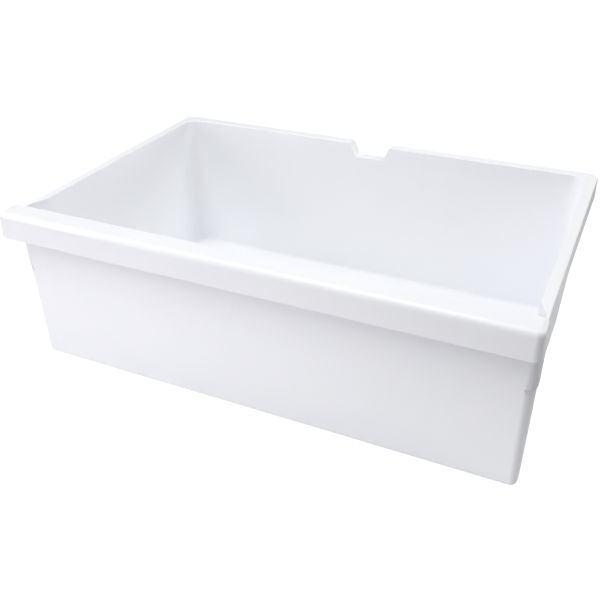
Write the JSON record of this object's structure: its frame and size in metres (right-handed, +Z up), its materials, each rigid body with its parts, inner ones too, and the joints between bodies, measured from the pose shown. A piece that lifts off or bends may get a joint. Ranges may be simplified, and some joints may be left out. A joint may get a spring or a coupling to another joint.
{
  "type": "refrigerator crisper drawer",
  "caption": "Wide open drawer tub with a flanged rim, a raised front lip as its handle and a notch in the rear wall, for the bottom of a refrigerator.",
  "frame": {"origin": "under the middle of the drawer, on the plane its underside rests on", "axes": "+X across the drawer to the right as seen from the front, +Y from the lip to the notched rear wall, +Z up"},
  "size_m": [0.478, 0.318, 0.161],
  "materials": {
    "white_plastic": "satin, opaque white"
  },
  "bodies": {
    "root": {"crisper_drawer": "white_plastic"}
  },
  "joints": []
}
